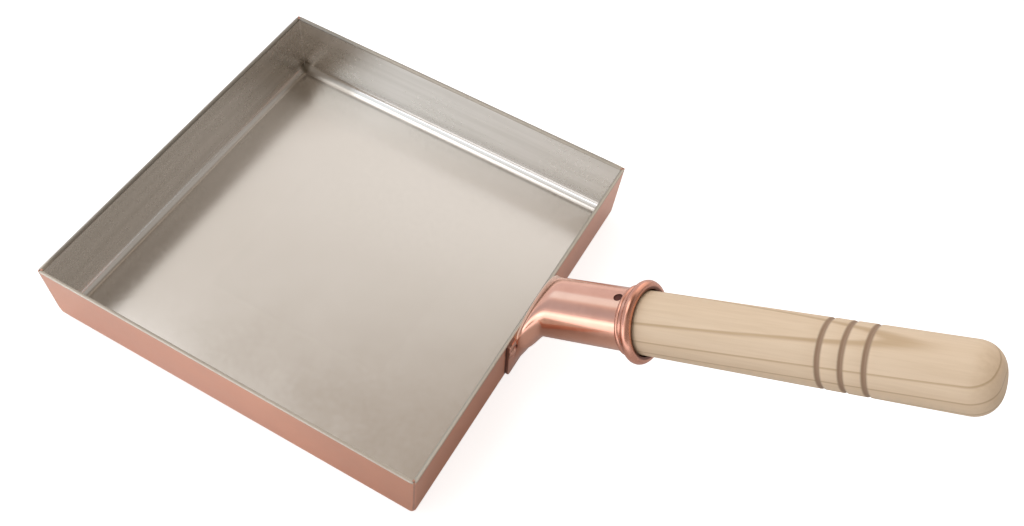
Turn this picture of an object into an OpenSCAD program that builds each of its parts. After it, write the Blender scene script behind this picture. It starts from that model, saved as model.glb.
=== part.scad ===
// Square copper omelette pan with a tinned inside and a turned wooden handle.
// Units are millimetres, Z is up and the handle points along +X.
// The origin is the centre of the flat base, on the surface the pan stands on.
// Left and right are those of a cook who holds the handle: right is +Y.

/* [Pan tray] */
// Outer width of the square tray at the rim, both ways
body_w = 180; // [150:1:210]
// Height of the rim above the table
body_h = 33; // [31:0.5:38]
// How far each wall leans out between base and rim
wall_draft = 1.2; // [0.6:0.1:2.4]
// Thickness of the copper sheet
sheet_t = 1.5; // [1.2:0.1:2]
// Inner radius of the bend between floor and wall, in the copper
bend_in_r = 2.6; // [2:0.1:3.6]
// Outer radius of the upright corners
corner_r = 2; // [1.6:0.1:3]
// Thickness of the tin wiped over the inside
tin_t = 0.25; // [0.2:0.05:0.4]

/* [Corner seams] */
// Width of the slit between two folded walls, filled with braze
seam_w = 0.8; // [0.6:0.1:1.2]
// How far the braze stands proud of the copper
seam_proud = 0.15; // [0.1:0.05:0.3]
// Height at which the slit starts, above the bottom bend
seam_z0 = 5; // [4.7:0.1:7]

/* [Handle socket] */
// Rise of the handle above the horizontal, in degrees
tilt = 28.2; // [26:0.2:31]
// Distance of the socket mouth from the rim, measured outwards
mouth_out = 46.3; // [44:0.5:52]
// Height of the centre of the socket mouth above the rim
mouth_up = 29.8; // [29:0.2:32]
// Outer radius of the socket tube
tube_r = 12.35; // [12:0.05:12.8]
// Thickness of the socket's sheet
shell_t = 1.2; // [1:0.1:1.4]
// Length of the straight part of the tube behind the mouth
tube_len = 34; // [33:0.5:34]
// Outer radius of the rolled ring at the mouth
ring_r = 16.3; // [15.5:0.1:17]
// Half width of the flange on the pan wall at its top
flange_top = 20.5; // [20:0.25:22]
// Half width of the flange on the pan wall at its foot
flange_foot = 16; // [15.5:0.25:18]
// Thickness of the flange
flange_t = 1.5; // [1.3:0.1:1.8]
// Half width of the neck's shoulders, just above the rim
shoulder_half = 17.6; // [17:0.1:18]
// Half width of the neck below its shoulders, on the pan wall
neck_half = 13.8; // [13.6:0.1:14]

/* [Rivets] */
// Distance of each rivet from the middle of the socket
rivet_y = 17.1; // [17:0.1:17.3]
// Height of the rivets below the rim
rivet_down = 8; // [7:0.5:10]
// Diameter of the rivet shank
rivet_d = 3.6; // [3:0.2:4]
// Diameter of the rivet heads
rivet_head_d = 5.4; // [5:0.1:5.6]
// Height of the rivet heads
rivet_head_h = 1.3; // [1:0.1:1.6]

/* [Wooden handle] */
// Radius of the wooden grip
grip_r = 12.4; // [12.2:0.05:12.5]
// Length of the grip outside the mouth
grip_len = 128; // [110:1:150]
// Radius of the rounded end of the grip
grip_end_r = 9; // [7:0.5:10]
// Distance of the first groove from the mouth
groove_s = 72; // [62:1:76]
// Distance between two grooves
groove_pitch = 7.9; // [6:0.1:9]
// Width of a groove
groove_w = 1.7; // [1.2:0.1:2.2]
// Depth of a groove
groove_d = 0.7; // [0.4:0.1:1]
// Length of the tenon hidden in the socket
tenon_len = 27; // [22:1:30]
// Clearance between tenon and tube
tenon_gap = 0.1; // [0.05:0.05:0.2]
// How much thinner the tenon gets towards its end
tenon_taper = 0.5; // [0.3:0.1:0.8]

/* [Handle nail] */
// Distance of the nail behind the mouth
nail_s = 8; // [7.8:0.1:12]
// Turn of the nail about the handle, from the top towards the left
nail_turn = 0; // [-20:1:60]
// Diameter of the nail shank
nail_d = 1.8; // [1.4:0.1:2.2]
// Diameter of the nail head
nail_head_d = 3.4; // [3:0.1:3.8]
// Clearance of the hole in the socket round the nail head
nail_gap = 0.1; // [0.05:0.05:0.2]
// Length of the nail in the wood
nail_len = 9; // [7:0.5:10]

/* [Hidden] */
$fn = 64;

half_w = body_w / 2;
lean = atan(wall_draft / body_h);
wall_x = sheet_t / cos(lean);
tin_x = tin_t / cos(lean);
bend_out_r = bend_in_r + sheet_t;
bend_steps = 6;
corner_steps = 6;
bore_r = tube_r - shell_t;
loft_step = 0.12;
loft_r = tube_r - loft_step;

seat_s = -5.2;
seat_top_s = -0.6;
mouth_r = grip_r + 0.6;
nail_sink = 0.35;
nail_bed_r = bore_r - tenon_gap - 0.55;
flange_z0 = 2.8 - body_h;
flange_z1 = -0.2;

// The tray as a solid block: rings of points from the base to the rim

function lean_half(z) = half_w - wall_draft * (1 - z / body_h);

function ring_points(half, r, z) =
    [for (c = [0:3]) for (k = [0:corner_steps])
        let (a = c * 90 + k * 90 / corner_steps,
            cx = (c == 0 || c == 3 ? 1 : -1) * (half - r),
            cy = (c < 2 ? 1 : -1) * (half - r))
        [cx + r * cos(a), cy + r * sin(a), z]];

module stack(rings) {
    n = len(rings[0]);
    m = len(rings);
    polyhedron(
        points = [for (ring = rings) each ring],
        faces = concat(
            [[for (i = [0:n - 1]) i]],
            [[for (i = [n - 1:-1:0]) (m - 1) * n + i]],
            [for (k = [0:m - 2]) for (i = [0:n - 1])
                [k * n + i, (k + 1) * n + i, (k + 1) * n + (i + 1) % n, k * n + (i + 1) % n]]),
        convexity = 8);
}

// inset is measured inwards from the outer skin, floor_z is the underside of the block
module tray_block(inset, floor_z, bend, corner, top_z) {
    stack(concat(
        [for (k = [0:bend_steps])
            let (a = 90 - k * 90 / bend_steps, z = floor_z + bend * (1 - sin(a)))
            ring_points(lean_half(floor_z + bend) - inset - bend * (1 - cos(a)), corner, z)],
        [ring_points(lean_half(top_z) - inset, corner, top_z)]));
}

module tray_outside(grow = 0) {
    tray_block(-grow, 0, bend_out_r, corner_r, body_h);
}

module tray_inside(extra = 0) {
    tray_block(wall_x, sheet_t, bend_in_r, max(corner_r - sheet_t, 0.4), body_h + extra);
}

module food_space(extra = 0) {
    tray_block(wall_x + tin_x, sheet_t + tin_t, bend_in_r - tin_t,
        max(corner_r - sheet_t - tin_t, 0.2), body_h + extra);
}

// Frames: a point on the handle wall, and the axis of the handle

module on_wall(y, z) {
    translate([lean_half(z), y, z])
        rotate([0, 90 + lean, 0])
            children();
}

module on_axis(s = 0) {
    translate([half_w + mouth_out, 0, body_h + mouth_up])
        rotate([0, 90 - tilt, 0])
            translate([0, 0, s])
                children();
}

module beside_axis(s, turn) {
    on_axis(s)
        rotate([0, 0, 180 + turn])
            rotate([0, 90, 0])
                children();
}

module seam_slit(corner) {
    rotate([0, 0, 45 + corner * 90])
        translate([half_w, -seam_w / 2, seam_z0])
            cube([half_w, seam_w, body_h - seam_z0]);
}

module rivet_hole(side) {
    on_wall(side * rivet_y, body_h - rivet_down)
        translate([0, 0, -6])
            cylinder(d = rivet_d, h = 12);
}

// Pieces

module pan_body() {
    color("#c9896b")
        difference() {
            tray_outside();
            tray_inside(extra = 5);
            for (c = [0:3]) seam_slit(c);
            for (side = [-1, 1]) rivet_hole(side);
        }
}

module tin_lining() {
    color("#c9c3bb")
        difference() {
            tray_inside();
            food_space(extra = 5);
            for (side = [-1, 1]) rivet_hole(side);
        }
}

module corner_seam(corner) {
    color("#b4573c")
        difference() {
            intersection() {
                seam_slit(corner);
                tray_outside(grow = seam_proud);
            }
            tray_inside(extra = 5);
        }
}

// A solid rivet closed from both sides: half barrel head, shank, half barrel head
module rivet(side) {
    grip = sheet_t + tin_t;
    color("#a5654b")
        on_wall(side * rivet_y, body_h - rivet_down) {
            translate([0, 0, -grip])
                cylinder(d = rivet_d, h = grip + flange_t);
            translate([0, 0, flange_t])
                rivet_head();
            translate([0, 0, -grip])
                mirror([0, 0, 1])
                    rivet_head();
        }
}

module rivet_head() {
    half = rivet_head_d / 2;
    ball = (half * half + rivet_head_h * rivet_head_h) / (2 * rivet_head_h);
    intersection() {
        translate([0, 0, rivet_head_h - ball])
            sphere(r = ball);
        cylinder(r = half + 1, h = rivet_head_h + 1);
    }
}

// Neck of the socket: a gooseneck from the round tube down to the pan wall

// Points and directions in the middle plane are [x, z] from the outer edge of the rim.
function tube_point(s, side) =
    [mouth_out + s * cos(tilt) - side * loft_r * sin(tilt),
        mouth_up + s * sin(tilt) + side * loft_r * cos(tilt)];

function along(a, b, c, d, t) =
    a * pow(1 - t, 3) + 3 * b * t * pow(1 - t, 2) + 3 * c * t * t * (1 - t) + d * pow(t, 3);

lap_s = 1.5;
back_s = -35;
front_s = -46.5;
t_start = 0.1;
t_shoulder = 0.595;
t_rim = 0.66;
u_rim = 0.27;
axis_dir = [cos(tilt), sin(tilt)];
back_start = tube_point(back_s, 1);
front_start = tube_point(front_s, -1);
rim_end = [0.1, 0];
hidden_end = [-3.6, 10 - body_h];
front_end = [0.3, 3.2 - body_h];

function back_path(t) =
    t < t_start
        ? tube_point(lap_s - tube_len + (back_s + tube_len - lap_s) * t / t_start, 1)
        : t < t_rim
            ? along(back_start, back_start - axis_dir * 9, [0.9, 12], rim_end,
                (t - t_start) / (t_rim - t_start))
            : rim_end + (hidden_end - rim_end) * (t - t_rim) / (1 - t_rim);

function front_path(t) =
    t < t_start
        ? tube_point(lap_s - tube_len + (front_s + tube_len - lap_s) * t / t_start, -1)
        : along(front_start, front_start - axis_dir * 5, [4.2, 12.5 - body_h], front_end,
            t < t_rim
                ? u_rim * (t - t_start) / (t_rim - t_start)
                : u_rim + (1 - u_rim) * (t - t_rim) / (1 - t_rim));

function ease(t) = t < 0 ? 0 : t > 1 ? 1 : t * t * (3 - 2 * t);

// The neck spreads like a fan up to its shoulders and steps in below them.
function neck_width(t) =
    loft_r + (shoulder_half - loft_r) * ease((t - t_start) / 0.48)
        - (shoulder_half - neck_half) * ease((t - t_shoulder) / 0.05);

// Where the neck is widest, from 0 at its back to 1 at its front
function widest(t) = 0.5 - 0.2 * ease((t - t_start) / 0.6);
function back_power(t) = 2 + 0.7 * ease((t - 0.2) / 0.46);
function front_power(t) = 2 + 0.3 * ease((t - 0.2) / 0.5);

function unit(v) = v / norm(v);
function inward(path_a, path_b, side) =
    let (d = unit(path_b - path_a)) side * [-d[1], d[0]];

function bent(c, p) = sign(c) * pow(abs(c), 2 / p);

function neck_ring(t, n, thin) =
    let (e = 0.004,
        back = back_path(t) + thin * inward(back_path(t - e), back_path(t + e), 1),
        front = front_path(t) + thin * inward(front_path(t - e), front_path(t + e), -1),
        side = back + (front - back) * widest(t),
        w = neck_width(t) - thin)
    [for (i = [0:n - 1])
        let (a = 360 * i / n,
            p = cos(a) > 0 ? back_power(t) : front_power(t),
            q = side + ((cos(a) > 0 ? back : front) - side) * abs(bent(cos(a), p)))
        [half_w + q[0], w * bent(sin(a), p), body_h + q[1]]];

module neck(thin = 0) {
    rings = 20;
    points = 40;
    stack([for (k = [0:rings]) neck_ring(0.005 + 0.985 * k / rings, points, thin)]);
}

module behind_wall() {
    on_wall(0, body_h)
        translate([-60, -60, -60])
            cube([160, 120, 60]);
}

module flange() {
    on_wall(0, body_h)
        linear_extrude(flange_t)
            polygon([[-flange_z1, flange_top], [-flange_z1, -flange_top],
                [-flange_z0, -flange_foot], [-flange_z0, flange_foot]]);
}

module socket_profile() {
    union() {
        polygon([[0, -tube_len], [tube_r, -tube_len], [tube_r, -6], [mouth_r + 0.9, -2],
            [mouth_r + 0.9, 1.4], [0, 1.4]]);
        translate([ring_r - 2.2, -0.4])
            circle(r = 2.2);
        translate([tube_r + 0.35, -4.9])
            circle(r = 1.1);
    }
}

module bore_profile() {
    polygon([[0, -tube_len - 0.01], [bore_r, -tube_len - 0.01], [bore_r, seat_s],
        [grip_r, seat_top_s], [mouth_r, 0.4], [mouth_r, 4], [0, 4]]);
}

module nail_hole(d) {
    beside_axis(-nail_s, nail_turn)
        cylinder(d = d, h = 20);
}

module handle_socket() {
    color("#d79274")
        difference() {
            union() {
                on_axis() rotate_extrude() socket_profile();
                neck();
                flange();
            }
            on_axis() rotate_extrude() bore_profile();
            neck(thin = shell_t);
            behind_wall();
            nail_hole(nail_head_d + 2 * nail_gap);
            for (side = [-1, 1]) rivet_hole(side);
        }
}

// Turned wooden grip with its tapered tenon and cone seat

module handle_profile() {
    end_steps = 10;
    end_s = grip_len - grip_end_r;
    tenon_r = bore_r - tenon_gap;
    polygon(concat(
        [[0, -tenon_len], [tenon_r - tenon_taper - 1, -tenon_len],
            [tenon_r - tenon_taper, 1 - tenon_len], [tenon_r, seat_s - 0.4],
            [bore_r, seat_s], [grip_r, seat_top_s]],
        [for (g = [0:2]) each groove_points(groove_s + g * groove_pitch)],
        [for (k = [0:end_steps])
            let (a = 90 * k / end_steps)
            [grip_r - grip_end_r * (1 - cos(a)), end_s + grip_end_r * sin(a)]],
        [[0, grip_len]]));
}

function groove_points(s) =
    [[grip_r, s - groove_w / 2], [grip_r - groove_d, s - groove_w / 4],
        [grip_r - groove_d, s + groove_w / 4], [grip_r, s + groove_w / 2]];

module handle() {
    color("#dcc6a2")
        difference() {
            on_axis() rotate_extrude() handle_profile();
            beside_axis(-nail_s, nail_turn)
                translate([0, 0, nail_bed_r])
                    cylinder(d = nail_head_d, h = 10);
            beside_axis(-nail_s, nail_turn)
                translate([0, 0, nail_bed_r - nail_len])
                    cylinder(d = nail_d, h = nail_len + 1);
        }
}

module handle_nail() {
    color("#3d3a38")
        beside_axis(-nail_s, nail_turn) {
            translate([0, 0, nail_bed_r])
                cylinder(d = nail_head_d, h = tube_r - nail_sink - nail_bed_r);
            translate([0, 0, nail_bed_r - nail_len])
                cylinder(d = nail_d, h = nail_len + 0.2);
        }
}

pan_body();
tin_lining();
corner_seam(3);  // corner_seam_handle_left
corner_seam(0);  // corner_seam_handle_right
corner_seam(2);  // corner_seam_far_left
corner_seam(1);  // corner_seam_far_right
handle_socket();
rivet(-1);  // rivet_left
rivet(1);  // rivet_right
handle();
handle_nail();
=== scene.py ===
import math

import bpy
import bmesh
from mathutils import Matrix, Vector


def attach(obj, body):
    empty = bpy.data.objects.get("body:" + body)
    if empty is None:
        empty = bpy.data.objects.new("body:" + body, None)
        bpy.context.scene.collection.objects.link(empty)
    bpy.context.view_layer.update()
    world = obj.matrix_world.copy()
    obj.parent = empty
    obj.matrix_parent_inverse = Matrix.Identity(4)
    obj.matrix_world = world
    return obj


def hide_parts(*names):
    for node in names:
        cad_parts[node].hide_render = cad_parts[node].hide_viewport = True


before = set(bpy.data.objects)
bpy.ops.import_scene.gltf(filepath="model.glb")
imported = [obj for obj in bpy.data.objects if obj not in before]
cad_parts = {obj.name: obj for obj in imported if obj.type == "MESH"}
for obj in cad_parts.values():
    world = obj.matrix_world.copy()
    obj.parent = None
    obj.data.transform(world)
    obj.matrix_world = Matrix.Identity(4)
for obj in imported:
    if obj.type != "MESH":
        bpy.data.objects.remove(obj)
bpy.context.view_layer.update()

MM = 0.001

# Sizes in millimetres, the same as in the CAD source
BODY_W, BODY_H, DRAFT = 180.0, 33.0, 1.2
SHEET, TIN = 1.5, 0.25
BEND_IN, CORNER_R = 2.6, 2.0
TILT = math.radians(28.2)
MOUTH_OUT, MOUTH_UP = 46.3, 29.8
MOUTH = (BODY_W / 2 + MOUTH_OUT, BODY_H + MOUTH_UP)
TUBE_R, SHELL, TUBE_LEN, RING_R = 12.35, 1.2, 38.0, 16.3
BORE_R = TUBE_R - SHELL
GRIP_R, GRIP_LEN, GRIP_END, TENON_LEN = 12.4, 128.0, 9.0, 27.0
NECK_HALF, SHOULDER_HALF = 13.8, 17.6
FLANGE_TOP, FLANGE_FOOT, FLANGE_LEN, FLANGE_T, FLANGE_R = 20.5, 16.0, 30.0, 1.5, 1.5
RIVET_Y, RIVET_DOWN = 17.1, 8.0
NAIL_S, NAIL_HOLE_R = 8.0, 1.8
GROOVE_PITCH = 7.9
GROOVES = (72.0, 72.0 + GROOVE_PITCH, 72.0 + 2 * GROOVE_PITCH)
GROOVE_HALF, GROOVE_DEEP = 0.95, 0.7

LEAN = math.atan(DRAFT / BODY_H)
AXIS = Vector((math.cos(TILT), 0, math.sin(TILT)))
AXIS_UP = Vector((-math.sin(TILT), 0, math.cos(TILT)))

# How finely the meshes are divided
ROUND_STEPS, CORNER_STEPS, BEND_STEPS, RIM_STEPS, NECK_STEPS, HOLE_STEPS = 128, 8, 12, 6, 90, 48


# Mesh helpers

def merge_points(mesh, gap):
    bm = bmesh.new()
    bm.from_mesh(mesh)
    bmesh.ops.remove_doubles(bm, verts=bm.verts, dist=gap)
    bmesh.ops.recalc_face_normals(bm, faces=bm.faces)
    bm.to_mesh(mesh)
    bm.free()


def smooth(mesh, angle):
    """Smooth shading, with edges left sharp where the faces turn by more than the angle."""
    mesh.shade_smooth()
    mesh.set_sharp_from_angle(angle=math.radians(angle))


def finish_object(name, verts, faces, angle=35.0):
    """An object from points in millimetres."""
    mesh = bpy.data.meshes.new(name)
    mesh.from_pydata([tuple(c * MM for c in v) for v in verts], [], faces)
    merge_points(mesh, 1e-6)
    smooth(mesh, angle)
    obj = bpy.data.objects.new(name, mesh)
    bpy.context.scene.collection.objects.link(obj)
    return obj


def join(name, objects):
    bpy.ops.object.select_all(action="DESELECT")
    for obj in objects:
        obj.select_set(True)
    bpy.context.view_layer.objects.active = objects[0]
    bpy.ops.object.join()
    out = bpy.context.view_layer.objects.active
    out.name = name
    out.data.name = name
    return out


def apply_modifiers(obj):
    bpy.context.view_layer.objects.active = obj
    bpy.ops.object.select_all(action="DESELECT")
    obj.select_set(True)
    for modifier in list(obj.modifiers):
        bpy.ops.object.modifier_apply(modifier=modifier.name)


def on_axis(s, r, a):
    """A point at s along the handle, r out from its axis, a round it from the top to the left."""
    p = Vector((MOUTH[0], 0, MOUTH[1])) + AXIS * s
    return p + AXIS_UP * (r * math.cos(a)) + Vector((0, -1, 0)) * (r * math.sin(a))


def lathe(name, profile, angle):
    """Turns (r, s) points about the handle's axis; points at r = 0 close the ends."""
    verts, faces = [], []
    n = len(profile)
    for k in range(ROUND_STEPS):
        a = 2 * math.pi * k / ROUND_STEPS
        verts += [on_axis(s, r, a) for r, s in profile]
    for k in range(ROUND_STEPS):
        j = (k + 1) % ROUND_STEPS
        for i in range(n - 1):
            if profile[i][0] == 0 and profile[i + 1][0] == 0:
                continue
            faces.append((k * n + i, k * n + i + 1, j * n + i + 1, j * n + i))
    return finish_object(name, verts, faces, angle)


def lean_half(z):
    """Half the tray's width outside, at height z on its leaning walls."""
    return BODY_W / 2 - DRAFT * (1 - z / BODY_H)


def ring_points(half, r, z):
    """A square with rounded corners, as a ring of points at height z."""
    pts = []
    for c in range(4):
        for k in range(CORNER_STEPS + 1):
            a = math.pi / 2 * (c + k / CORNER_STEPS)
            cx = (half - r) * (1 if c in (0, 3) else -1)
            cy = (half - r) * (1 if c < 2 else -1)
            pts.append((cx + r * math.cos(a), cy + r * math.sin(a), z))
    return pts


def tray_rings(inset, floor_z, bend, corner, top_z):
    """Rings of one skin of the tray, from the foot of its bend up to top_z."""
    rings = []
    for k in range(BEND_STEPS + 1):
        a = math.pi / 2 * (1 - k / BEND_STEPS)
        z = floor_z + bend * (1 - math.sin(a))
        half = lean_half(floor_z + bend) - inset - bend * (1 - math.cos(a))
        rings.append(ring_points(half, corner, z))
    rings.append(ring_points(lean_half(top_z) - inset, corner, top_z))
    return rings


def skin(rings, cap_first=True):
    """Points and faces of a skin over rings of equally many points, closed at its ends."""
    n = len(rings[0])
    verts = [p for ring in rings for p in ring]
    faces = []
    for k in range(len(rings) - 1):
        for i in range(n):
            j = (i + 1) % n
            faces.append((k * n + i, (k + 1) * n + i, (k + 1) * n + j, k * n + j))
    if cap_first:
        faces.append(tuple(range(n)))
    faces.append(tuple((len(rings) - 1) * n + i for i in reversed(range(n))))
    return verts, faces


# Node helpers

def new_material(name):
    m = bpy.data.materials.new(name)
    m.use_nodes = True
    nt = m.node_tree
    return m, nt, nt.nodes["Principled BSDF"]


def object_coords(nt, scale=(1, 1, 1)):
    tc = nt.nodes.new("ShaderNodeTexCoord")
    mp = nt.nodes.new("ShaderNodeMapping")
    mp.inputs["Scale"].default_value = scale
    nt.links.new(tc.outputs["Object"], mp.inputs["Vector"])
    return mp.outputs["Vector"]


def split_xyz(nt, vector):
    sep = nt.nodes.new("ShaderNodeSeparateXYZ")
    nt.links.new(vector, sep.inputs["Vector"])
    return sep.outputs["X"], sep.outputs["Y"], sep.outputs["Z"]


def dot(nt, vector, fixed):
    d = nt.nodes.new("ShaderNodeVectorMath")
    d.operation = "DOT_PRODUCT"
    nt.links.new(vector, d.inputs[0])
    d.inputs[1].default_value = tuple(fixed)
    return d.outputs["Value"]


def noise(nt, vector, scale, detail=4.0, rough=0.55, distortion=0.0):
    n = nt.nodes.new("ShaderNodeTexNoise")
    n.inputs["Scale"].default_value = scale
    n.inputs["Detail"].default_value = detail
    n.inputs["Roughness"].default_value = rough
    n.inputs["Distortion"].default_value = distortion
    nt.links.new(vector, n.inputs["Vector"])
    return n.outputs["Fac"]


def ramp(nt, fac, stops):
    r = nt.nodes.new("ShaderNodeValToRGB")
    elements = r.color_ramp.elements
    while len(elements) < len(stops):
        elements.new(0.5)
    for element, (position, colour) in zip(elements, stops):
        element.position = position
        element.color = (*colour, 1)
    nt.links.new(fac, r.inputs["Fac"])
    return r.outputs["Color"]


def mix_color(nt, fac, a, b, mode="MIX"):
    m = nt.nodes.new("ShaderNodeMix")
    m.data_type = "RGBA"
    m.blend_type = mode
    for value, i in ((fac, 0), (a, 6), (b, 7)):
        if isinstance(value, (int, float)):
            m.inputs[i].default_value = value
        elif isinstance(value, tuple):
            m.inputs[i].default_value = (*value, 1)
        else:
            nt.links.new(value, m.inputs[i])
    return m.outputs[2]


def tint(nt, mask, colour, factor):
    """The colour times the factor where the mask is 1."""
    return mix_color(nt, mask, colour, mix_color(nt, 1.0, colour, factor, "MULTIPLY"))


def math_node(nt, op, a, b=0.0, c=0.0):
    m = nt.nodes.new("ShaderNodeMath")
    m.operation = op
    for i, value in enumerate((a, b, c)):
        if isinstance(value, (int, float)):
            m.inputs[i].default_value = value
        else:
            nt.links.new(value, m.inputs[i])
    return m.outputs[0]


def product(nt, *values):
    out = values[0]
    for v in values[1:]:
        out = math_node(nt, "MULTIPLY", out, v)
    return out


def distance(nt, a, a0, b, b0):
    """How far (a, b) is from the point (a0, b0), which is in millimetres."""
    da = math_node(nt, "SUBTRACT", a, a0 * MM)
    db = math_node(nt, "SUBTRACT", b, b0 * MM)
    return math_node(nt, "SQRT", math_node(nt, "ADD", product(nt, da, da), product(nt, db, db)))


def map_range(nt, value, a, b, c, d):
    m = nt.nodes.new("ShaderNodeMapRange")
    m.interpolation_type = "SMOOTHSTEP"
    for key, v in (("From Min", a), ("From Max", b), ("To Min", c), ("To Max", d)):
        m.inputs[key].default_value = v
    nt.links.new(value, m.inputs["Value"])
    return m.outputs["Result"]


def rise(nt, value, span):
    """From 0 to 1 over a span given in millimetres."""
    return map_range(nt, value, span[0] * MM, span[1] * MM, 0.0, 1.0)


def fall(nt, value, span):
    """From 1 to 0 over a span given in millimetres."""
    return map_range(nt, value, span[0] * MM, span[1] * MM, 1.0, 0.0)


def bump(nt, bsdf, height, strength, distance):
    b = nt.nodes.new("ShaderNodeBump")
    b.inputs["Strength"].default_value = strength
    b.inputs["Distance"].default_value = distance
    nt.links.new(height, b.inputs["Height"])
    nt.links.new(b.outputs["Normal"], bsdf.inputs["Normal"])


def coords(nt):
    """The object's own coordinates, split: X, Y, Z, and X and Y without their signs."""
    x, y, z = split_xyz(nt, object_coords(nt))
    return x, y, z, math_node(nt, "ABSOLUTE", x), math_node(nt, "ABSOLUTE", y)


# Metals

CLOUD_SHARE, FINE_SHARE = 0.6, 0.4


def metal(name, light, dark, rough, spread, smudge, streak=(1, 1, 1), streak_scale=300.0,
          bump_strength=0.1, bump_distance=0.0002):
    """A metal with clouds in its colour, clouds and grain in its roughness, and a fine grain."""
    m, nt, bsdf = new_material(name)
    bsdf.inputs["Metallic"].default_value = 1.0
    cloud = noise(nt, object_coords(nt), smudge, 5.0, 0.6)
    fine = noise(nt, object_coords(nt, streak), streak_scale, 3.0, 0.6)
    tone = ramp(nt, cloud, ((0.3, dark), (0.7, light)))
    nt.links.new(tone, bsdf.inputs["Base Color"])
    mixed = math_node(nt, "ADD", math_node(nt, "MULTIPLY", cloud, CLOUD_SHARE),
                      math_node(nt, "MULTIPLY", fine, FINE_SHARE))
    nt.links.new(map_range(nt, mixed, 0.3, 0.7, rough - spread, rough + spread),
                 bsdf.inputs["Roughness"])
    bump(nt, bsdf, fine, bump_strength, bump_distance)
    return m


tin = metal("tin_satin", (0.81, 0.765, 0.72), (0.77, 0.725, 0.675), 0.22, 0.03, 14.0,
            (1, 1, 1), 420.0, 0.012)
copper_sheet = metal("copper_sheet_satin", (0.875, 0.46, 0.31), (0.81, 0.41, 0.27), 0.36, 0.06,
                     30.0, (1, 1, 6), 260.0, 0.08)
copper_socket = metal("copper_polished", (0.88, 0.475, 0.345), (0.80, 0.41, 0.29), 0.17, 0.04,
                      60.0, (1, 1, 1), 500.0, 0.04)
copper_rivet = metal("copper_rivet_worn", (0.78, 0.43, 0.32), (0.60, 0.31, 0.23), 0.28, 0.06,
                     200.0)
braze = metal("braze_dull", (0.70, 0.395, 0.30), (0.57, 0.30, 0.22), 0.42, 0.08, 160.0)
iron = metal("nail_iron", (0.17, 0.065, 0.05), (0.07, 0.028, 0.022), 0.5, 0.1, 300.0)


def old_inputs(m):
    """The shader of a material, and what feeds its colour and its roughness so far."""
    bsdf = m.node_tree.nodes["Principled BSDF"]
    colour, rough = (bsdf.inputs[key].links[0].from_socket for key in ("Base Color", "Roughness"))
    return bsdf, colour, rough


# The tin's marks and painted shade: spans in millimetres, and what the colour is multiplied with
WALL_Z = (5.0, 8.0)
STREAKS = ((0.35, (0.92, 0.92, 0.91)), (0.62, (1, 1, 1)))
# painted shade: a dark line along the foot of the far bend
FOOT_START, FOOT_END, FOOT_Y = (81.2, 82.6), (83.1, 83.8), (78.0, 81.0)
FOOT_SHADE_TINT = (0.62, 0.61, 0.60)
# the start of the far bend near the left wall: rougher, and darker as painted shade
DULL_Y, DULL_Z, DULL_X = (83.4, 83.8), (4.6, 5.6), (-60.0, -52.0)
DULL_SHADE_TINT = (0.76, 0.745, 0.72)
# darker at the bottom of the four corners, in blotches
CORNER_DARK_AT, CORNER_DARK_WANDER, CORNER_DARK_REACH, CORNER_DARK_Z = 85.8, 3.0, (3.0, 5.5), (3.5, 8.0)
CORNER_DARK_TINT = (0.50, 0.47, 0.42)
# painted shade on the floor near the far left corner
SHADE_CORNER_AT, SHADE_CORNER_REACH, SHADE_CORNER_Z = (-86.0, 86.0), (16.0, 54.0), (2.5, 5.0)
SHADE_CORNER_TINT = (0.81, 0.795, 0.775)
RIM_Z, RIM_AWAY, RIM_LEFT, RIM_EDGE = (31.9, 32.1), (0.0, 10.0), (-65.0, -35.0), (88.9, 89.4)
RIM_TINT_NEAR, RIM_TINT_FAR = (0.80, 0.755, 0.685), (0.52, 0.50, 0.47)
LIP_FAR, LIP_TINT = (89.2, 89.5), (0.80, 0.79, 0.77)
WALL_ROUGHER, WORN_ROUGHER, DULL_WORN = 0.06, 0.2, 0.6


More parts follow.
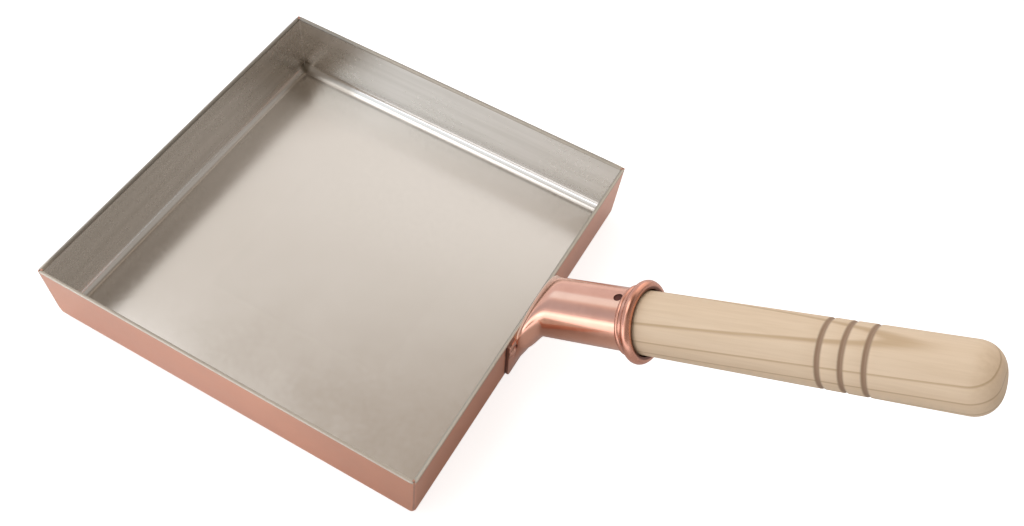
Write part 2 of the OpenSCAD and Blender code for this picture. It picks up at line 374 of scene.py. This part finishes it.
def work_the_tin(m):
    """Wiping streaks on the duller walls, painted shade at the foot of the far bend, a rougher
    start of that bend with painted shade, darker bottoms of the corners, painted shade on the floor
    near the far left corner and a duller rim, darker on the left and far sides."""
    nt = m.node_tree
    bsdf, colour, rough = old_inputs(m)
    x, y, z, ax, ay = coords(nt)
    far = math_node(nt, "MAXIMUM", ax, ay)

    wall = rise(nt, z, WALL_Z)
    streaks = noise(nt, object_coords(nt, (0.05, 0.05, 1)), 300.0, 1.0, 0.5)
    colour = tint(nt, wall, colour, ramp(nt, streaks, STREAKS))

    # painted shade: a dark line along the foot of the far bend
    patch = map_range(nt, noise(nt, object_coords(nt), 25.0, 2.0), 0.3, 0.6, 0.6, 1.0)
    foot = product(nt, rise(nt, far, FOOT_START), fall(nt, far, FOOT_END), patch,
                   rise(nt, y, FOOT_Y))
    colour = tint(nt, foot, colour, FOOT_SHADE_TINT)

    # the start of the far bend near the left wall: rougher, and darker as painted shade
    dull = product(nt, rise(nt, y, DULL_Y), fall(nt, z, DULL_Z), fall(nt, x, DULL_X))
    colour = tint(nt, dull, colour, DULL_SHADE_TINT)

    # darker at the bottom of the four corners, in blotches
    corner = distance(nt, ax, CORNER_DARK_AT, ay, CORNER_DARK_AT)
    blotch = noise(nt, object_coords(nt), 220.0, 3.0)
    wander = math_node(nt, "MULTIPLY_ADD", blotch, CORNER_DARK_WANDER * MM, corner)
    darkening = product(nt, fall(nt, wander, CORNER_DARK_REACH), fall(nt, z, CORNER_DARK_Z))
    colour = tint(nt, darkening, colour, CORNER_DARK_TINT)

    # painted shade on the floor near the far left corner
    from_shaded_corner = distance(nt, x, SHADE_CORNER_AT[0], y, SHADE_CORNER_AT[1])
    corner_shade = product(nt, fall(nt, from_shaded_corner, SHADE_CORNER_REACH), fall(nt, z, SHADE_CORNER_Z))
    colour = tint(nt, corner_shade, colour, SHADE_CORNER_TINT)

    # the rim is duller all round; darker on the left and far sides, all over or only at its outer
    # edge
    rim = rise(nt, z, RIM_Z)
    away = product(nt, rise(nt, math_node(nt, "SUBTRACT", y, x), RIM_AWAY),
                   math_node(nt, "MAXIMUM", fall(nt, x, RIM_LEFT), rise(nt, far, RIM_EDGE)))
    colour = tint(nt, rim, colour, mix_color(nt, away, RIM_TINT_NEAR, RIM_TINT_FAR))
    lip = product(nt, rim, fall(nt, far, LIP_FAR))
    colour = tint(nt, lip, colour, LIP_TINT)
    nt.links.new(colour, bsdf.inputs["Base Color"])

    rough = math_node(nt, "MULTIPLY_ADD", wall, WALL_ROUGHER, rough)
    worn = math_node(nt, "MAXIMUM", rim, math_node(nt, "MULTIPLY", dull, DULL_WORN))
    nt.links.new(math_node(nt, "MULTIPLY_ADD", worn, WORN_ROUGHER, rough),
                 bsdf.inputs["Roughness"])


work_the_tin(tin)

# painted shadow on the wall beside the flange: its reach from the edge, its height and its colour
FLANGE_SHADOW_REACH, FLANGE_SHADOW_Z, FLANGE_SHADOW_COLOUR = (0.7, 1.4), (1.5, 3.0), (0.28, 0.13, 0.095)
HANDLE_WALL_X = 85.0


def paint_flange_shadow(m):
    """Painted shadow: a dark line on the wall along the flange's edge."""
    nt = m.node_tree
    bsdf, colour, _ = old_inputs(m)
    x, _, z, _, ay = coords(nt)
    slope = (FLANGE_TOP - FLANGE_FOOT) / FLANGE_LEN
    edge = math_node(nt, "MULTIPLY_ADD", z, slope, (FLANGE_TOP - slope * BODY_H) * MM)
    past = math_node(nt, "SUBTRACT", ay, edge)
    line = product(nt, fall(nt, past, FLANGE_SHADOW_REACH), math_node(nt, "GREATER_THAN", past, -MM),
                   math_node(nt, "GREATER_THAN", x, HANDLE_WALL_X * MM), rise(nt, z, FLANGE_SHADOW_Z))
    nt.links.new(mix_color(nt, line, colour, FLANGE_SHADOW_COLOUR), bsdf.inputs["Base Color"])


paint_flange_shadow(copper_sheet)

# The socket's marks and painted shade, in millimetres: out from the wall, round a rivet, along and
# off the axis
EDGE_OUT, EDGE_SIDE = (1.02, 1.25), 15.3
# painted shadow round each rivet: its radius, and how far out from the wall it goes
RIVET_SHADE_REACH, RIVET_OUT = (3.1, 4.0), (1.8, 2.6)
RING_S, MOUTH_R, MOUTH_S = (-6.6, -6.0), (13.7, 14.6), -1.2
# colours: painted shade on the flange and round the rivets, the ring's tint, painted shade in the
# mouth
FLANGE_SHADE, RING_TINT, MOUTH_SHADE = (0.30, 0.15, 0.11), (0.86, 0.78, 0.77), (0.20, 0.09, 0.065)
RING_WORN, SOCKET_ROUGHER = 0.4, 0.22


def shade_and_wear_the_socket(m):
    """Painted shade on the flange's side faces, round the rivets and in the mouth, and a duller
    ring.
    """
    nt = m.node_tree
    bsdf, colour, rough = old_inputs(m)
    x, y, z, _, ay = coords(nt)

    # how far out from the leaning wall
    wall_x = math_node(nt, "MULTIPLY_ADD", z, DRAFT / BODY_H, (BODY_W / 2 - DRAFT) * MM)
    out = math_node(nt, "SUBTRACT", x, wall_x)
    # painted shade on the flange's side faces, near the wall
    edge = product(nt, fall(nt, out, EDGE_OUT),
                   math_node(nt, "GREATER_THAN", ay, EDGE_SIDE * MM))
    # painted shadow round the rivets, on the flange
    rivet = distance(nt, ay, RIVET_Y, z, BODY_H - RIVET_DOWN)
    darkening = product(nt, fall(nt, rivet, RIVET_SHADE_REACH), fall(nt, out, RIVET_OUT))
    colour = mix_color(nt, math_node(nt, "MAXIMUM", edge, darkening), colour, FLANGE_SHADE)

    # s is along the handle from the mouth, and r is out from its axis
    mouth_s = MOUTH[0] * AXIS.x + MOUTH[1] * AXIS.z
    mouth_up = MOUTH[0] * AXIS_UP.x + MOUTH[1] * AXIS_UP.z
    s = math_node(nt, "SUBTRACT", dot(nt, object_coords(nt), AXIS), mouth_s * MM)
    r = distance(nt, dot(nt, object_coords(nt), AXIS_UP), mouth_up, y, 0.0)
    ring = rise(nt, s, RING_S)
    colour = tint(nt, ring, colour, RING_TINT)
    # painted shade on the lip inside the mouth
    lip = product(nt, fall(nt, r, MOUTH_R), math_node(nt, "GREATER_THAN", s, MOUTH_S * MM))
    colour = mix_color(nt, lip, colour, MOUTH_SHADE)
    nt.links.new(colour, bsdf.inputs["Base Color"])

    worn = math_node(nt, "MAXIMUM", math_node(nt, "MULTIPLY", ring, RING_WORN),
                     math_node(nt, "MAXIMUM", edge, lip))
    nt.links.new(math_node(nt, "MULTIPLY_ADD", worn, SOCKET_ROUGHER, rough),
                 bsdf.inputs["Roughness"])


shade_and_wear_the_socket(copper_socket)

# The wood: tones of its broad bands and fine grain, and its growth rings in metres
BAND_TONES = ((0.32, (0.845, 0.63, 0.432)), (0.5, (0.865, 0.65, 0.45)), (0.7, (0.885, 0.67, 0.468)))
GRAIN_TONES = ((0.35, (0.955, 0.94, 0.915)), (0.6, (1, 1, 1)))
RING_PITCH, RING_SHIFT, RING_SLOPE, RING_WAVE = 0.0058, 0.24, -0.035, 0.0016
LATE_START, LATE_END, LATE_TINT = (0.81, 0.93), (0.945, 1.0), (0.77, 0.71, 0.62)
SCORCH_REACH, SCORCH_COLOUR = (0.07, 0.19), (0.42, 0.275, 0.18)


def make_wood():
    m, nt, bsdf = new_material("wood_turned_bare")
    tc = nt.nodes.new("ShaderNodeTexCoord")
    place = nt.nodes.new("ShaderNodeMapping")
    place.inputs["Location"].default_value = (-MOUTH[0] * MM, 0, -MOUTH[1] * MM)
    turn = nt.nodes.new("ShaderNodeMapping")
    turn.inputs["Rotation"].default_value = (0, TILT, 0)
    nt.links.new(tc.outputs["Object"], place.inputs["Vector"])
    nt.links.new(place.outputs["Vector"], turn.inputs["Vector"])
    along_handle = turn.outputs["Vector"]

    def stretched(scale):
        s = nt.nodes.new("ShaderNodeMapping")
        s.inputs["Scale"].default_value = scale
        nt.links.new(along_handle, s.inputs["Vector"])
        return s.outputs["Vector"]

    grain = noise(nt, stretched((0.05, 1, 1)), 900.0, 4.0, 0.6)
    band = noise(nt, stretched((0.03, 1, 0.6)), 240.0, 2.0, 0.5, 0.3)
    colour = mix_color(nt, 1.0, ramp(nt, band, BAND_TONES), ramp(nt, grain, GRAIN_TONES),
                       "MULTIPLY")

    # growth rings: nearly flat layers across the wood, each ending in a thin dark line
    s, _, height = split_xyz(nt, along_handle)
    wave = noise(nt, stretched((0.12, 1, 1)), 60.0, 2.0)
    height = math_node(nt, "MULTIPLY_ADD", s, RING_SLOPE, height)
    height = math_node(nt, "MULTIPLY_ADD", wave, RING_WAVE, height)
    ring = math_node(nt, "FRACT",
                     math_node(nt, "MULTIPLY_ADD", height, 1 / RING_PITCH, RING_SHIFT))
    late = math_node(nt, "MULTIPLY", map_range(nt, ring, *LATE_START, 0.0, 1.0),
                     map_range(nt, ring, *LATE_END, 1.0, 0.0))
    colour = tint(nt, late, colour, LATE_TINT)

    # grooves: scorched brown in and beside each one, by turns of the grooves' pitch
    from_first = math_node(nt, "SUBTRACT", s, GROOVES[0] * MM)
    turns = math_node(nt, "DIVIDE", from_first, GROOVE_PITCH * MM)
    off = math_node(nt, "SUBTRACT", turns, math_node(nt, "ROUND", turns))
    to_groove = math_node(nt, "ABSOLUTE", off)
    scorch = product(nt, map_range(nt, to_groove, *SCORCH_REACH, 1.0, 0.0),
                     math_node(nt, "GREATER_THAN", turns, -0.5),
                     math_node(nt, "LESS_THAN", turns, len(GROOVES) - 0.5))
    colour = mix_color(nt, scorch, colour, SCORCH_COLOUR)
    nt.links.new(colour, bsdf.inputs["Base Color"])
    nt.links.new(map_range(nt, grain, 0.3, 0.7, 0.5, 0.62), bsdf.inputs["Roughness"])
    bsdf.inputs["Specular IOR Level"].default_value = 0.35
    bump(nt, bsdf, grain, 0.25, 0.0002)
    return m


wood = make_wood()


def paint(obj, material):
    obj.data.materials.clear()
    obj.data.materials.append(material)


def dress(obj, material, node):
    paint(obj, material)
    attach(obj, "root")
    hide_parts(node)


# Tray: the folded copper outside and the tin inside

WALL_X, TIN_X = SHEET / math.cos(LEAN), TIN / math.cos(LEAN)
RIM_OUT, RIM_IN = 0.35, 1.0
# the wiped tin pools in the bend, so its own bend is wider than the sheet's
POOLED_BEND = 4.1
SHARP_CORNER = 0.25
# steps from the foot of the bends to the middle of the pan's floor
FLOOR_STEPS = (44.0, 34.0, 26.0, 20.0, 15.5, 12.0, 9.0, 6.5, 4.5, 2.8, 1.2)
CROWN, CROWN_REACH = 0.3, 9.0


def rim_rings():
    """The tin wiped over the sheet's rounded edge, from the inside to the outside."""
    rings = []
    for k in range(RIM_STEPS + 1):
        a = math.pi / 2 * k / RIM_STEPS
        z = BODY_H - RIM_IN * (1 - math.sin(a))
        inset = WALL_X + TIN_X - RIM_IN * (1 - math.cos(a))
        rings.append(ring_points(lean_half(z) - inset, max(CORNER_R - inset, SHARP_CORNER), z))
    for k in range(RIM_STEPS + 1):
        a = math.pi / 2 * (1 - k / RIM_STEPS)
        z = BODY_H - RIM_OUT * (1 - math.sin(a))
        inset = RIM_OUT * (1 - math.cos(a))
        rings.append(ring_points(lean_half(z) - inset, CORNER_R - inset, z))
    return rings


def crowned_floor():
    """The pan's floor swells a little from the foot of the bends, as a hammered sheet does."""
    half = lean_half(SHEET + TIN + POOLED_BEND) - WALL_X - TIN_X - POOLED_BEND
    rings = []
    for d in FLOOR_STEPS:
        z = SHEET + TIN + CROWN * (1 - math.exp(-d / CROWN_REACH))
        rings.append(ring_points(half - d, SHARP_CORNER, z))
    return rings


outside = tray_rings(0, 0, BEND_IN + SHEET, CORNER_R, BODY_H - RIM_OUT)
between = tray_rings(WALL_X, SHEET, BEND_IN, CORNER_R - SHEET, BODY_H - RIM_OUT)
inside = tray_rings(WALL_X + TIN_X, SHEET + TIN, POOLED_BEND, SHARP_CORNER, BODY_H - RIM_IN)
lining_rings = crowned_floor() + inside[:-1] + rim_rings() + between[::-1]
tray = finish_object("copper_tray", *skin(outside + between[::-1]), 40.0)
lining = finish_object("tin_inside", *skin(lining_rings), 40.0)
dress(tray, copper_sheet, "pan_body")
dress(lining, tin, "tin_lining")

for seam in ("corner_seam_handle_left", "corner_seam_handle_right", "corner_seam_far_left",
             "corner_seam_far_right"):
    paint(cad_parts[seam], braze)

# Socket: lathe-turned tube and ring, lofted neck, flange. The neck's paths are seen from the
# side, in millimetres out from the wall's rim and up from it; t runs from the tube (0) through
# the rim's height to the foot (1).

AXIS2 = Vector((math.cos(TILT), math.sin(TILT)))
NECK_START_S, BACK_S, FRONT_S = -TUBE_LEN + 8, -35.0, -46.5
T_START, T_RIM, T_END, U_RIM = 0.1, 0.66, 0.994, 0.27
BACK_PULL, BACK_GUIDE = 9.0, Vector((0.9, 12))
FRONT_PULL, FRONT_GUIDE = 5.0, Vector((4.2, 12.5 - BODY_H))
RIM_END, HIDDEN_END = Vector((0.1, 0)), Vector((-3.6, 10 - BODY_H))
FRONT_END = Vector((0.3, 3.2 - BODY_H))
OFF_THE_WALL = 0.02


def tube_point(s, side):
    """A point of the tube's top (side 1) or bottom (side -1) line."""
    return Vector((MOUTH_OUT + s * math.cos(TILT) - side * TUBE_R * math.sin(TILT),
                   MOUTH_UP + s * math.sin(TILT) + side * TUBE_R * math.cos(TILT)))


def cubic(a, b, c, d, t):
    return (a * (1 - t) ** 3 + b * (3 * t * (1 - t) ** 2) + c * (3 * t * t * (1 - t))
            + d * t ** 3)


def back_path(t):
    if t < T_START:
        return tube_point(NECK_START_S + (BACK_S - NECK_START_S) * t / T_START, 1)
    if t < T_RIM:
        p = tube_point(BACK_S, 1)
        return cubic(p, p - AXIS2 * BACK_PULL, BACK_GUIDE, RIM_END,
                     (t - T_START) / (T_RIM - T_START))
    return RIM_END + (HIDDEN_END - RIM_END) * (t - T_RIM) / (1 - T_RIM)


def front_path(t):
    if t < T_START:
        return tube_point(NECK_START_S + (FRONT_S - NECK_START_S) * t / T_START, -1)
    p = tube_point(FRONT_S, -1)
    if t < T_RIM:
        u = U_RIM * (t - T_START) / (T_RIM - T_START)
    else:
        u = U_RIM + (1 - U_RIM) * (t - T_RIM) / (1 - T_RIM)
    return cubic(p, p - AXIS2 * FRONT_PULL, FRONT_GUIDE, FRONT_END, u)


def ease(t, start, length):
    """0 before the start, 1 after start + length, and smooth between them."""
    t = min(max((t - start) / length, 0.0), 1.0)
    return t * t * (3 - 2 * t)


def bent(c, p):
    return math.copysign(abs(c) ** (2 / p), c)


def neck_ring(t):
    """A section of the neck: a circle at the tube, and a wide flattened D at the wall."""
    back, front = back_path(t), front_path(t)
    w = TUBE_R + (SHOULDER_HALF - TUBE_R) * ease(t, 0.1, 0.48)
    w -= (SHOULDER_HALF - NECK_HALF) * ease(t, 0.595, 0.05)
    widest = back + (front - back) * (0.5 - 0.2 * ease(t, 0.1, 0.6))
    power_back = 2 + 0.7 * ease(t, 0.2, 0.46)
    power_front = 2 + 0.3 * ease(t, 0.2, 0.5)
    pts = []
    for i in range(ROUND_STEPS):
        a = 2 * math.pi * i / ROUND_STEPS
        c, s = math.cos(a), math.sin(a)
        end, power = (back, power_back) if c > 0 else (front, power_front)
        q = widest + (end - widest) * abs(c) ** (2 / power)
        x, y, z = BODY_W / 2 + q.x, w * bent(s, power), BODY_H + q.y
        if z < BODY_H:
            x = max(x, lean_half(z) + OFF_THE_WALL)
        pts.append((x, y, z))
    return pts


neck_rings = [neck_ring(T_END * k / NECK_STEPS) for k in range(NECK_STEPS + 1)]
neck = finish_object("neck", *skin(neck_rings, cap_first=False), 50.0)


def arc(cx, cy, r, a0, a1, steps):
    angles = [math.radians(a0 + (a1 - a0) * k / steps) for k in range(steps + 1)]
    return [(cx + r * math.cos(a), cy + r * math.sin(a)) for a in angles]


RING_ROUND, BEAD_ROUND, BEAD_S = 2.2, 1.1, -4.9
tube_profile = [(TUBE_R, s) for s in (-30.0, -20.0, -10.0, -6.4)]
tube_profile += arc(TUBE_R + 0.35, BEAD_S, BEAD_ROUND, -50, 40, 8)
tube_profile += arc(RING_R - RING_ROUND, -0.4, RING_ROUND, -100, 118, 20)
tube_profile += [(GRIP_R + 0.6, 1.1), (GRIP_R + 0.6, 0.4), (GRIP_R, -0.6), (BORE_R, -5.2),
                 (BORE_R, -24.0), (0, -24.0)]
tube = lathe("tube", tube_profile, 30.0)


def nail_hole_ring(up):
    centre = on_axis(-NAIL_S, 0, 0) + AXIS_UP * up
    angles = [2 * math.pi * k / HOLE_STEPS for k in range(HOLE_STEPS)]
    return [tuple(centre + AXIS * (NAIL_HOLE_R * math.cos(a))
                  + Vector((0, NAIL_HOLE_R * math.sin(a), 0))) for a in angles]


cutter = finish_object("cutter", *skin([nail_hole_ring(9.0), nail_hole_ring(16.0)]))
cut = tube.modifiers.new("hole", "BOOLEAN")
cut.operation = "DIFFERENCE"
cut.solver = "EXACT"
cut.object = cutter
apply_modifiers(tube)
bpy.data.objects.remove(cutter)
smooth(tube.data, 30.0)


def wall_point(down, y, out):
    """A point below the rim on the handle wall's plane, and out from it."""
    z = BODY_H - down * math.cos(LEAN)
    return (BODY_W / 2 - down * math.sin(LEAN) + out * math.cos(LEAN), y,
            z - out * math.sin(LEAN))


def rounded(points, r, steps=6):
    """An outline with its corners rounded to the radius r."""
    out = []
    n = len(points)
    for i in range(n):
        p, a, b = Vector(points[i]), Vector(points[i - 1]), Vector(points[(i + 1) % n])
        u, v = (a - p).normalized(), (b - p).normalized()
        half = u.angle(v) / 2
        reach = r / math.tan(half)
        centre = p + (u + v).normalized() * (r / math.sin(half))
        start, end = p + u * reach - centre, p + v * reach - centre
        for k in range(steps + 1):
            f = k / steps
            d = (start * (1 - f) + end * f).normalized() * r
            out.append(tuple(centre + d))
    return out


PLATE_TOP, PLATE_END = 0.2, 0.2 + FLANGE_LEN


def plate_ring(shrink, out):
    """The flange's outline, made smaller by shrink and moved out from the wall."""
    top, end = PLATE_TOP + shrink, PLATE_END - shrink
    wide, narrow = FLANGE_TOP - shrink, FLANGE_FOOT - shrink
    outline = rounded([(top, wide), (top, -wide), (end, -narrow), (end, narrow)],
                      max(FLANGE_R - shrink, 0.3))
    return [wall_point(down, y, out) for down, y in outline]


flange_rings = [plate_ring(0, 0.01), plate_ring(0, FLANGE_T - 0.35),
                plate_ring(0.1, FLANGE_T - 0.1), plate_ring(0.35, FLANGE_T)]
flange = finish_object("flange", *skin(flange_rings), 50.0)
socket = join("socket", [tube, neck, flange])
merge_points(socket.data, 2e-6)
smooth(socket.data, 30.0)
dress(socket, copper_socket, "handle_socket")

for rivet in ("rivet_left", "rivet_right"):
    paint(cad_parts[rivet], copper_rivet)
paint(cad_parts["handle_nail"], iron)


# Wooden handle

def groove(s):
    """A shallow round groove with soft edges, centred at s."""
    sides = ((-GROOVE_HALF, 0.0), (-0.8, 0.08), (-0.4, GROOVE_DEEP - 0.1), (0.0, GROOVE_DEEP),
             (0.4, GROOVE_DEEP - 0.1), (0.8, 0.08), (GROOVE_HALF, 0.0))
    return [(GRIP_R - deep, s + off) for off, deep in sides]


wood_profile = [(0, -TENON_LEN), (BORE_R - 1.6, -TENON_LEN), (BORE_R - 0.6, 1 - TENON_LEN),
                (BORE_R - 0.1, -5.6), (BORE_R, -5.2), (GRIP_R, -0.6), (GRIP_R, 20), (GRIP_R, 45),
                (GRIP_R, 65)]
for groove_s in GROOVES:
    wood_profile += groove(groove_s)
wood_profile += [(GRIP_R, 100), (GRIP_R, 112)]
for step in range(21):
    turned = math.pi / 2 * step / 20
    wood_profile.append((GRIP_R - GRIP_END * (1 - math.cos(turned)),
                         GRIP_LEN - GRIP_END + GRIP_END * math.sin(turned)))
wood_profile.append((0, GRIP_LEN))
grip = lathe("wooden_grip", wood_profile, 40.0)
dress(grip, wood, "handle")

# Floor. It is white for the camera. Reflections see the soft light that falls on it, and a painted
# glow added by zones in metres: more under the tray than at the handle, and most in front.

FLOOR_HALF, FLOOR_Z = 4000, -0.05
FLOOR_GREY, FLOOR_WHITE = 0.67, 0.75
MIRRORED_GLOW_COLOUR = (0.95, 1.0, 1.10)
TRAY_GLOW_ZONE, FRONT_GLOW_ZONE = (0.115, -0.03, 0.04, 0.30), (-0.10, -0.28, 0.0, 1.0)
FAR_GLOW_ZONE = (-0.02, 0.10, 0.0, 0.12)

floor = finish_object("floor", [(x, y, FLOOR_Z) for x, y in (
    (-FLOOR_HALF, -FLOOR_HALF), (FLOOR_HALF, -FLOOR_HALF), (FLOOR_HALF, FLOOR_HALF),
    (-FLOOR_HALF, FLOOR_HALF))], [(0, 1, 2, 3)])
floor_mat, nt, bsdf = new_material("floor_white")
bsdf.inputs["Base Color"].default_value = (FLOOR_GREY, FLOOR_GREY, FLOOR_GREY, 1)
bsdf.inputs["Roughness"].default_value = 0.9
bsdf.inputs["Specular IOR Level"].default_value = 0.1
glow = nt.nodes.new("ShaderNodeEmission")
rays = nt.nodes.new("ShaderNodeLightPath")
mirrored = math_node(nt, "MAXIMUM", rays.outputs["Is Glossy Ray"],
                     rays.outputs["Is Transmission Ray"])
floor_x, floor_y, _ = split_xyz(nt, nt.nodes.new("ShaderNodeTexCoord").outputs["Object"])
# painted glow on the floor, seen only in reflections
painted_glow = map_range(nt, floor_x, *TRAY_GLOW_ZONE)
painted_glow = math_node(nt, "ADD", painted_glow, map_range(nt, floor_y, *FRONT_GLOW_ZONE))
painted_glow = math_node(nt, "ADD", painted_glow, map_range(nt, floor_y, *FAR_GLOW_ZONE))
seen = math_node(nt, "MULTIPLY", rays.outputs["Is Camera Ray"], FLOOR_WHITE)
nt.links.new(math_node(nt, "MULTIPLY_ADD", mirrored, painted_glow, seen), glow.inputs["Strength"])
nt.links.new(mix_color(nt, mirrored, (1.0, 1.0, 1.0), MIRRORED_GLOW_COLOUR), glow.inputs["Color"])
blend = nt.nodes.new("ShaderNodeAddShader")
nt.links.new(bsdf.outputs[0], blend.inputs[0])
nt.links.new(glow.outputs[0], blend.inputs[1])
nt.links.new(blend.outputs[0], nt.nodes["Material Output"].inputs["Surface"])
floor.data.materials.append(floor_mat)

# Light: a soft studio all round, darker on the handle's side and overhead, with soft patches.
# Each lobe has an azimuth, an elevation, an inner and an outer radius in degrees, and a gain.

WARM, COOL, SKY = (1.0, 0.955, 0.905), (0.93, 1.0, 1.08), (0.70, 1.03, 1.34)
LOW, HIGH, BLUE = (0.93, 0.98, 1.08), (0.50, 0.425, 0.35), (0.44, 1.02, 1.32)
LOBES = (
    (-126, -2, 5, 15, 1.6, COOL),
    (-131, 40, 8, 19, 0.5, SKY),
    (170, 29, 7, 16, 0.5, BLUE),
    (-155, 20, 8, 20, -0.25, WARM),
    (80, 25, 10, 35, 0.8, WARM),
    (112, 48, 6, 16, 0.16, COOL),
    (-170, 62, 10, 22, 1.9, COOL),
    (-110, 12, 8, 20, 1.2, COOL),
    (-107, 53, 6, 14, -0.14, WARM),
)

world = bpy.data.worlds.new("studio")
bpy.context.scene.world = world
world.use_nodes = True
wt = world.node_tree
background = wt.nodes["Background"]
way = wt.nodes.new("ShaderNodeTexCoord").outputs["Generated"]
way_x, _, way_z = split_xyz(wt, way)


def aim(azimuth, elevation):
    a, e = math.radians(azimuth), math.radians(elevation)
    return math.cos(e) * math.cos(a), math.cos(e) * math.sin(a), math.sin(e)


def lobe(azimuth, elevation, inner, outer, gain):
    """A soft bright patch of the studio."""
    return map_range(wt, dot(wt, way, aim(azimuth, elevation)), math.cos(math.radians(outer)),
                     math.cos(math.radians(inner)), 0.0, gain)


def tinted(value, colour):
    """The colour times the value, which may be over 1."""
    v = wt.nodes.new("ShaderNodeVectorMath")
    v.operation = "SCALE"
    if isinstance(colour, tuple):
        v.inputs[0].default_value = colour
    else:
        wt.links.new(colour, v.inputs[0])
    wt.links.new(value, v.inputs["Scale"])
    return v.outputs[0]


def added(a, b):
    v = wt.nodes.new("ShaderNodeVectorMath")
    v.operation = "ADD"
    wt.links.new(a, v.inputs[0])
    wt.links.new(b, v.inputs[1])
    return v.outputs[0]


level = map_range(wt, way_x, 0.25, -0.15, 0.41, 0.86)
overhead = map_range(wt, way_z, 0.79, 0.90, 0.0, 1.0)
# warm above the low light of the side away from the handle, and on the handle's side
warm = math_node(wt, "MAXIMUM", map_range(wt, way_z, 0.42, 0.62, 0.0, 1.0),
                 map_range(wt, way_x, -0.3, 0.1, 0.0, 1.0))
light = tinted(level, mix_color(wt, overhead, mix_color(wt, warm, LOW, WARM), HIGH))
for *shape, colour in LOBES:
    light = added(light, tinted(lobe(*shape), colour))
camera_ray = wt.nodes.new("ShaderNodeLightPath").outputs["Is Camera Ray"]
wt.links.new(mix_color(wt, camera_ray, light, (1.0, 1.0, 1.0)), background.inputs["Color"])
background.inputs["Strength"].default_value = 1.0

# Camera: solved from the pan's eight corners in the photograph

camera_data = bpy.data.cameras.new("camera")
camera_data.sensor_width = 36.0
camera_data.lens = 38.563
camera_data.clip_start = 0.01
camera = bpy.data.objects.new("camera", camera_data)
camera.matrix_world = Matrix(((0.8708, -0.4370, 0.2252, 0.17609),
                              (0.4857, 0.6940, -0.5314, -0.23005),
                              (0.0759, 0.5721, 0.8166, 0.41166), (0, 0, 0, 1)))
bpy.context.scene.collection.objects.link(camera)
bpy.context.scene.camera = camera
bpy.context.scene.view_settings.view_transform = "Standard"
